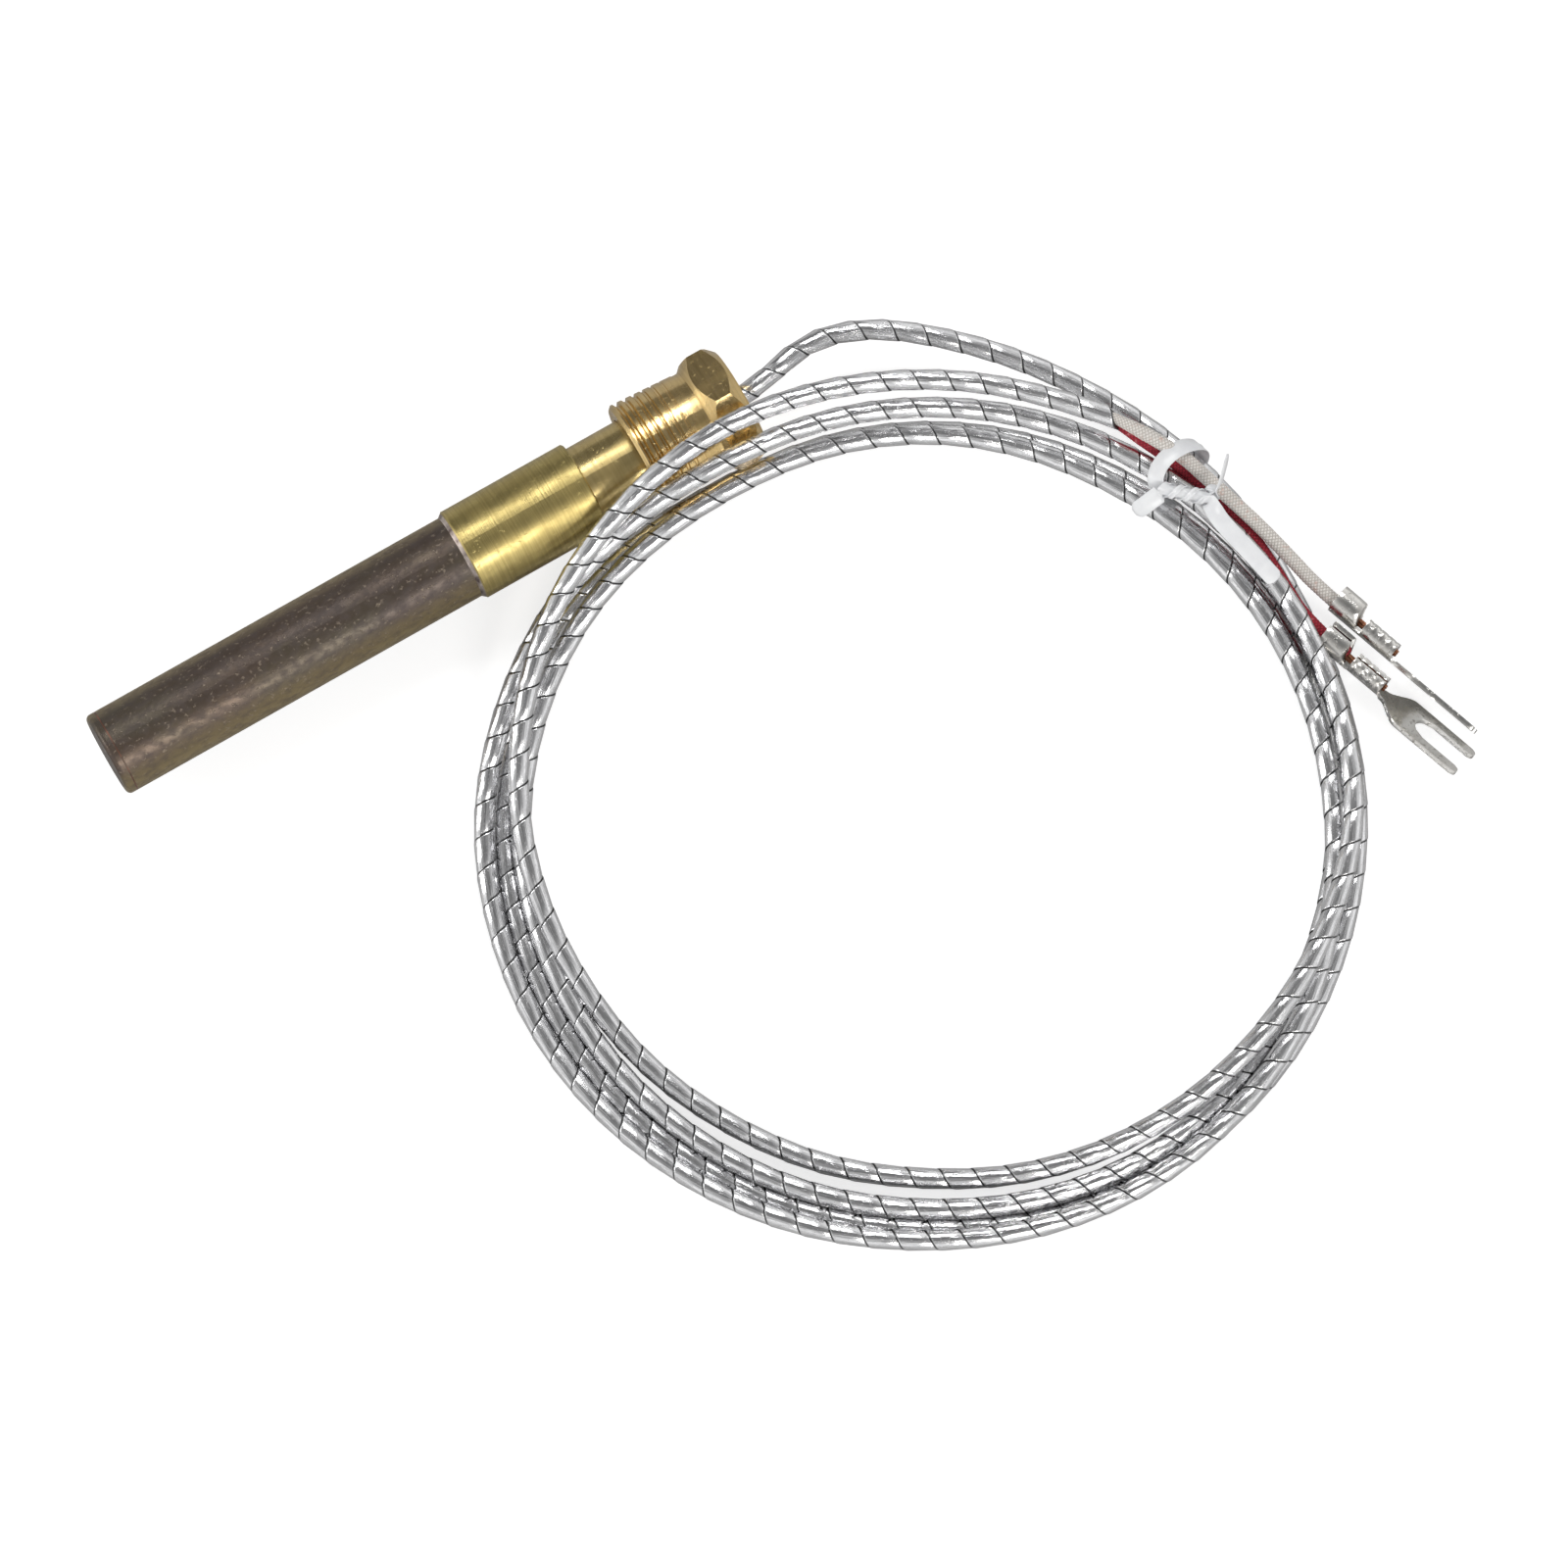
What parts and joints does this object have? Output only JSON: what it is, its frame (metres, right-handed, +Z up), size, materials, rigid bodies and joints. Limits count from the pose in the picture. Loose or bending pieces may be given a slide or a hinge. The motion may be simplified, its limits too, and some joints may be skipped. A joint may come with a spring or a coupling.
{
  "type": "thermocouple",
  "caption": "Thermopile generator: stained metal hot end, brass sleeve and loose threaded nut, spiral-armoured lead in a coil, white and red wires with fork terminals.",
  "frame": {"origin": "on the resting surface, under the middle of the probe", "axes": "+X along the probe from the hot end to the nut, +Z up from the resting surface"},
  "size_m": [0.1236, 0.098, 0.0165],
  "materials": {
    "stained_steel": "heat-stained brown, satin",
    "copper_braze": "dull copper",
    "sleeve_brass": "brushed round the sleeve, tarnished",
    "neck_brass": "drawn, satin",
    "nut_brass": "turned, bright",
    "solder": "dull",
    "mica": "matte",
    "ceramic": "matte",
    "dark_alloy": "dull",
    "pale_alloy": "dull",
    "nickel_plate": "bright nickel plate",
    "armour_strip": "bright wound strip",
    "white_braid": "braided fibre",
    "red_sleeve": "matte",
    "copper_strands": "stranded copper",
    "white_plastic": "translucent white, satin"
  },
  "bodies": {
    "probe": {"end_cap": "stained_steel", "cap_braze": "copper_braze", "hot_end_tube": "stained_steel", "brass_sleeve": "sleeve_brass", "solder_ring": "solder", "neck_tube": "neck_brass", "tip_insulator": "mica", "mica_liner": "mica", "ceramic_core": "ceramic", "positive_strips": "dark_alloy", "negative_strips": "pale_alloy", "hot_junctions": "pale_alloy", "cold_junctions": "pale_alloy", "cold_end_disc": "ceramic", "output_pins": "pale_alloy", "splice_sleeves": "nickel_plate", "inner_white_wire": "white_braid", "inner_red_wire": "red_sleeve", "sealing_cement": "ceramic", "lead_ferrule": "nickel_plate", "armour_lead": "armour_strip", "armour_coil": "armour_strip", "white_wire": "white_braid", "red_wire": "red_sleeve", "white_terminal": "nickel_plate", "red_terminal": "nickel_plate", "white_conductor": "copper_strands", "red_conductor": "copper_strands", "tie_strap": "white_plastic"},
    "nut": {"attachment_nut": "nut_brass"}
  },
  "joints": [
    {"name": "nut_turn", "type": "hinge", "parent": "probe", "child": "nut", "pos_m": [0.03265, 0, 0.00692], "axis": [1, 0, 0], "continuous": true}
  ]
}
